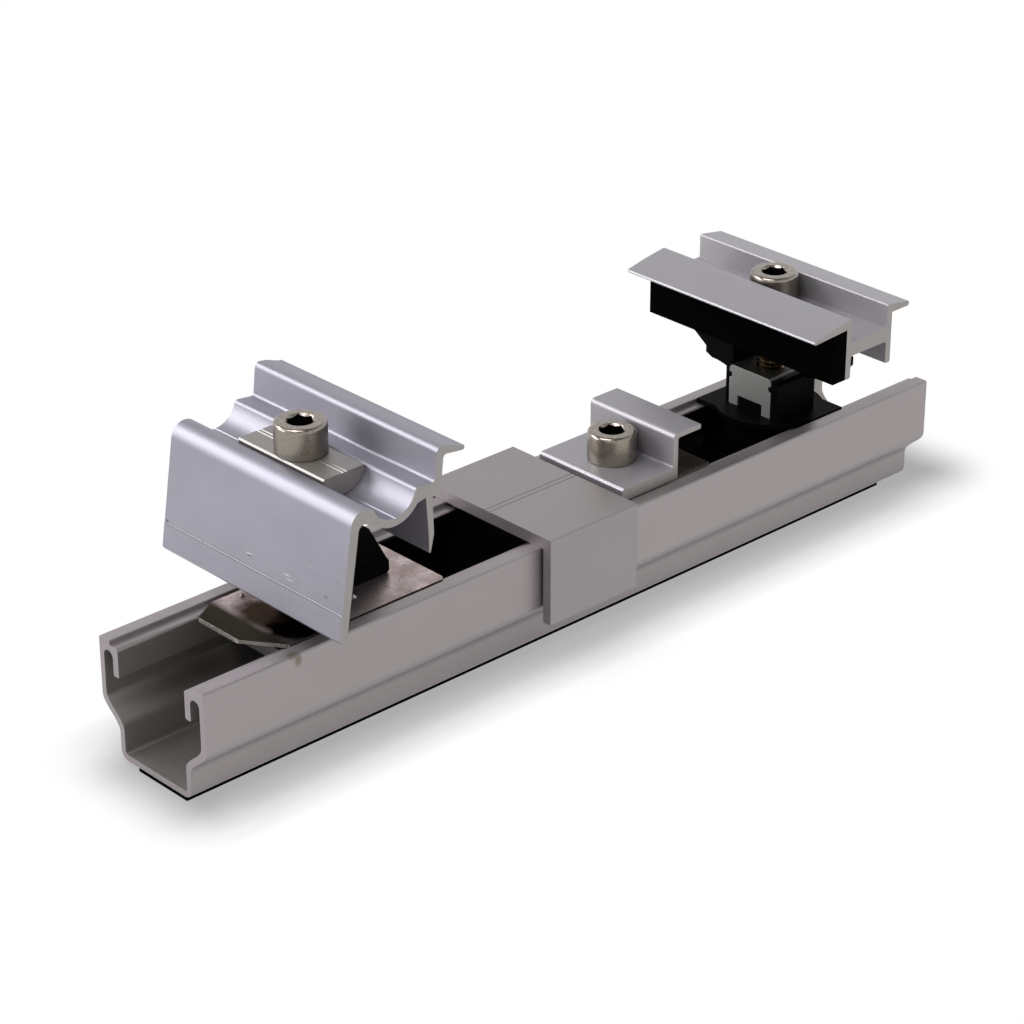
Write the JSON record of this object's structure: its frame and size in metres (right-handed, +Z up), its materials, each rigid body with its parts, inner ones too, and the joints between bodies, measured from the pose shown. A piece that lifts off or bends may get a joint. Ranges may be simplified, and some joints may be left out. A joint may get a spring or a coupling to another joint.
{
  "type": "solar rail clamp",
  "caption": "Short solar mounting rail with a rocking end clamp, a low stop clamp, a mid clamp on a twist-in foot and a saddle, each clamp drawn down by a cap screw.",
  "frame": {"origin": "under the middle of the rail's length and width, level with the underside of the sealing strip", "axes": "+X along the rail from the end clamp towards the mid clamp, +Y across the rail, +Z up"},
  "size_m": [0.25, 0.067, 0.0785],
  "materials": {
    "anodised_rail": "satin anodised, warm grey",
    "anodised_clamp": "satin anodised, cool grey",
    "mill_aluminium": "sawn and milled",
    "stainless": "bright stainless steel",
    "stainless_sheet": "rolled stainless sheet",
    "black_plastic": "satin moulded, black",
    "rubber": "matt, black"
  },
  "bodies": {
    "rail": {"rail": "anodised_rail", "sealing_strip": "rubber"},
    "saddle": {"saddle": "anodised_rail"},
    "end_base": {"end_guide": "black_plastic", "bonding_plate": "stainless_sheet", "end_slot_nut": "mill_aluminium", "end_nut_cage": "black_plastic"},
    "rocker": {"rocker_washer": "anodised_clamp"},
    "end_clamp": {"end_clamp": "anodised_clamp"},
    "end_screw": {"end_screw": "stainless"},
    "stop_base": {"stop_plate": "stainless_sheet", "stop_slot_nut": "mill_aluminium", "stop_nut_cage": "black_plastic"},
    "stop_clamp": {"stop_clamp": "anodised_clamp"},
    "stop_screw": {"stop_screw": "stainless"},
    "mid_base": {"twist_foot": "black_plastic", "nut_block": "mill_aluminium"},
    "mid_clamp": {"mid_clamp": "anodised_clamp", "spacer_pad": "rubber"},
    "mid_screw": {"mid_screw": "stainless"}
  },
  "joints": [
    {"name": "saddle_slide", "type": "slide", "parent": "rail", "child": "saddle", "axis": [1, 0, 0], "range_m": [-0.02, 0.002]},
    {"name": "end_slide", "type": "slide", "parent": "rail", "child": "end_base", "axis": [1, 0, 0], "range_m": [-0.015, 0.01]},
    {"name": "end_lift", "type": "slide", "parent": "end_base", "child": "rocker", "axis": [0, 0, 1], "range_m": [-0.005, 0]},
    {"name": "end_rock", "type": "hinge", "parent": "rocker", "child": "end_clamp", "pos_m": [-0.0785, 0, 0.0715], "axis": [0, 1, 0], "range_deg": [-6.5, 1.5]},
    {"name": "end_turn", "type": "hinge", "parent": "rocker", "child": "end_screw", "pos_m": [-0.0785, 0, 0.0715], "axis": [0, 0, 1], "range_deg": [-1440, 0]},
    {"name": "stop_slide", "type": "slide", "parent": "rail", "child": "stop_base", "axis": [1, 0, 0], "range_m": [0, 0.015]},
    {"name": "stop_lift", "type": "slide", "parent": "stop_base", "child": "stop_clamp", "axis": [0, 0, 1], "range_m": [0, 0.003]},
    {"name": "stop_turn", "type": "hinge", "parent": "stop_clamp", "child": "stop_screw", "pos_m": [0.0235, 0, 0.0315], "axis": [0, 0, 1], "range_deg": [0, 864]},
    {"name": "mid_slide", "type": "slide", "parent": "rail", "child": "mid_base", "axis": [1, 0, 0], "range_m": [-0.005, 0.02]},
    {"name": "mid_lift", "type": "slide", "parent": "mid_base", "child": "mid_clamp", "axis": [0, 0, 1], "range_m": [-0.0065, 0]},
    {"name": "mid_turn", "type": "hinge", "parent": "mid_clamp", "child": "mid_screw", "pos_m": [0.083, 0, 0.062], "axis": [0, 0, 1], "range_deg": [-1872, 0]}
  ],
  "couplings": [
    {"joint": "end_turn", "follows": "end_lift", "rad_per_m": 5026.5},
    {"joint": "stop_turn", "follows": "stop_lift", "rad_per_m": 5026.5},
    {"joint": "mid_turn", "follows": "mid_lift", "rad_per_m": 5026.5}
  ]
}
